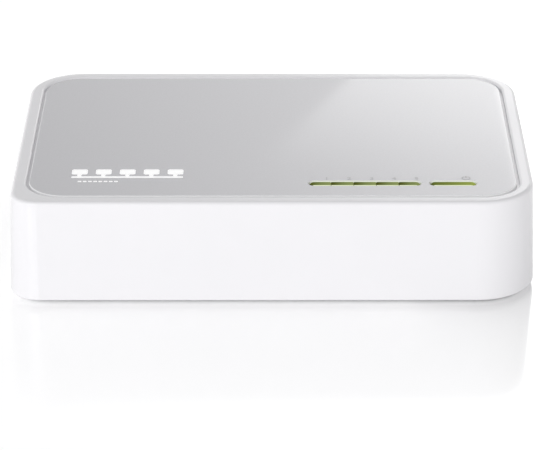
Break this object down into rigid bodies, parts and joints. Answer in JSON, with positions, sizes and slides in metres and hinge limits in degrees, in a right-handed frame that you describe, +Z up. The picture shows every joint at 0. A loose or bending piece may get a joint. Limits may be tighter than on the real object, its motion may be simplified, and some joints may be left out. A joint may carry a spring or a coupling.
{
  "type": "desktop network switch",
  "caption": "Low white desktop network switch with a silver-grey top panel, lit indicator bars at the front edge, and network sockets and a power jack in its rear wall.",
  "frame": {"origin": "middle of the footprint, on the surface that the feet stand on", "axes": "+X to the right as seen from the indicator side, +Y towards the rear sockets, +Z up"},
  "size_m": [0.1034, 0.07, 0.022],
  "materials": {
    "case_white": "glossy white moulding",
    "panel_silver": "high-gloss silver-grey insert",
    "lens_green": "clear moulding, lit yellow-green",
    "base_white": "fine satin texture",
    "label_silver": "blank satin film",
    "foot_rubber": "matte grey rubber",
    "screw_steel": "zinc-plated steel",
    "board_green": "solder mask over glass-fibre laminate",
    "port_black": "black moulding",
    "insert_black": "black moulding",
    "contact_gold": "gold flash over nickel",
    "contact_tin": "bright tin plate",
    "jack_black": "black moulding",
    "chip_black": "moulded epoxy",
    "ferrite_grey": "ferrite",
    "crystal_can": "drawn metal can",
    "capacitor_sleeve": "dark sleeve over an aluminium can",
    "lamp_clear": "clear epoxy",
    "resistor_black": "glazed ceramic chip",
    "capacitor_tan": "ceramic chip"
  },
  "bodies": {
    "switch_case": {"top_cover": "case_white", "top_panel": "panel_silver", "port_light_guide": "lens_green", "power_light_guide": "lens_green", "base_tray": "base_white", "rating_label": "label_silver", "foot_front_left": "foot_rubber", "foot_front_right": "foot_rubber", "foot_rear_left": "foot_rubber", "foot_rear_right": "foot_rubber", "case_screws": "screw_steel", "board_screws": "screw_steel", "circuit_board": "board_green", "port_block": "port_black", "power_jack_body": "jack_black", "power_jack_pin": "contact_tin", "power_jack_terminal": "contact_tin", "switch_chip": "chip_black", "switch_chip_leads": "contact_tin", "port_transformers": "chip_black", "port_transformer_leads": "contact_tin", "clock_crystal": "crystal_can", "filter_capacitors": "capacitor_sleeve", "regulator_chip": "chip_black", "regulator_chip_leads": "contact_tin", "power_inductor": "ferrite_grey", "indicator_lamps": "lamp_clear", "chip_resistors": "resistor_black", "chip_capacitors": "capacitor_tan", "port_1_contact_plate": "insert_black", "port_1_rear_block": "insert_black", "port_1_wires": "contact_gold", "port_2_contact_plate": "insert_black", "port_2_rear_block": "insert_black", "port_2_wires": "contact_gold", "port_3_contact_plate": "insert_black", "port_3_rear_block": "insert_black", "port_3_wires": "contact_gold", "port_4_contact_plate": "insert_black", "port_4_rear_block": "insert_black", "port_4_wires": "contact_gold", "port_5_contact_plate": "insert_black", "port_5_rear_block": "insert_black", "port_5_wires": "contact_gold"},
    "port_1_contacts": {"port_1_springs": "contact_gold"},
    "port_2_contacts": {"port_2_springs": "contact_gold"},
    "port_3_contacts": {"port_3_springs": "contact_gold"},
    "port_4_contacts": {"port_4_springs": "contact_gold"},
    "port_5_contacts": {"port_5_springs": "contact_gold"},
    "power_leaf": {"power_jack_leaf": "contact_tin"}
  },
  "joints": [
    {"name": "port_1_spring_bend", "type": "hinge", "parent": "switch_case", "child": "port_1_contacts", "pos_m": [-0.0342, 0.0323, 0.0161], "axis": [-1, 0, 0], "range_deg": [0, 12], "stiffness_Nm_per_rad": 0.2},
    {"name": "port_2_spring_bend", "type": "hinge", "parent": "switch_case", "child": "port_2_contacts", "pos_m": [-0.0202, 0.0323, 0.0161], "axis": [-1, 0, 0], "range_deg": [0, 12], "stiffness_Nm_per_rad": 0.2},
    {"name": "port_3_spring_bend", "type": "hinge", "parent": "switch_case", "child": "port_3_contacts", "pos_m": [-0.0062, 0.0323, 0.0161], "axis": [-1, 0, 0], "range_deg": [0, 12], "stiffness_Nm_per_rad": 0.2},
    {"name": "port_4_spring_bend", "type": "hinge", "parent": "switch_case", "child": "port_4_contacts", "pos_m": [0.0078, 0.0323, 0.0161], "axis": [-1, 0, 0], "range_deg": [0, 12], "stiffness_Nm_per_rad": 0.2},
    {"name": "port_5_spring_bend", "type": "hinge", "parent": "switch_case", "child": "port_5_contacts", "pos_m": [0.0218, 0.0323, 0.0161], "axis": [-1, 0, 0], "range_deg": [0, 12], "stiffness_Nm_per_rad": 0.2},
    {"name": "power_leaf_bend", "type": "hinge", "parent": "switch_case", "child": "power_leaf", "pos_m": [0.0363, 0.0325, 0.00805], "axis": [1, 0, 0], "range_deg": [0, 8], "stiffness_Nm_per_rad": 0.08}
  ]
}
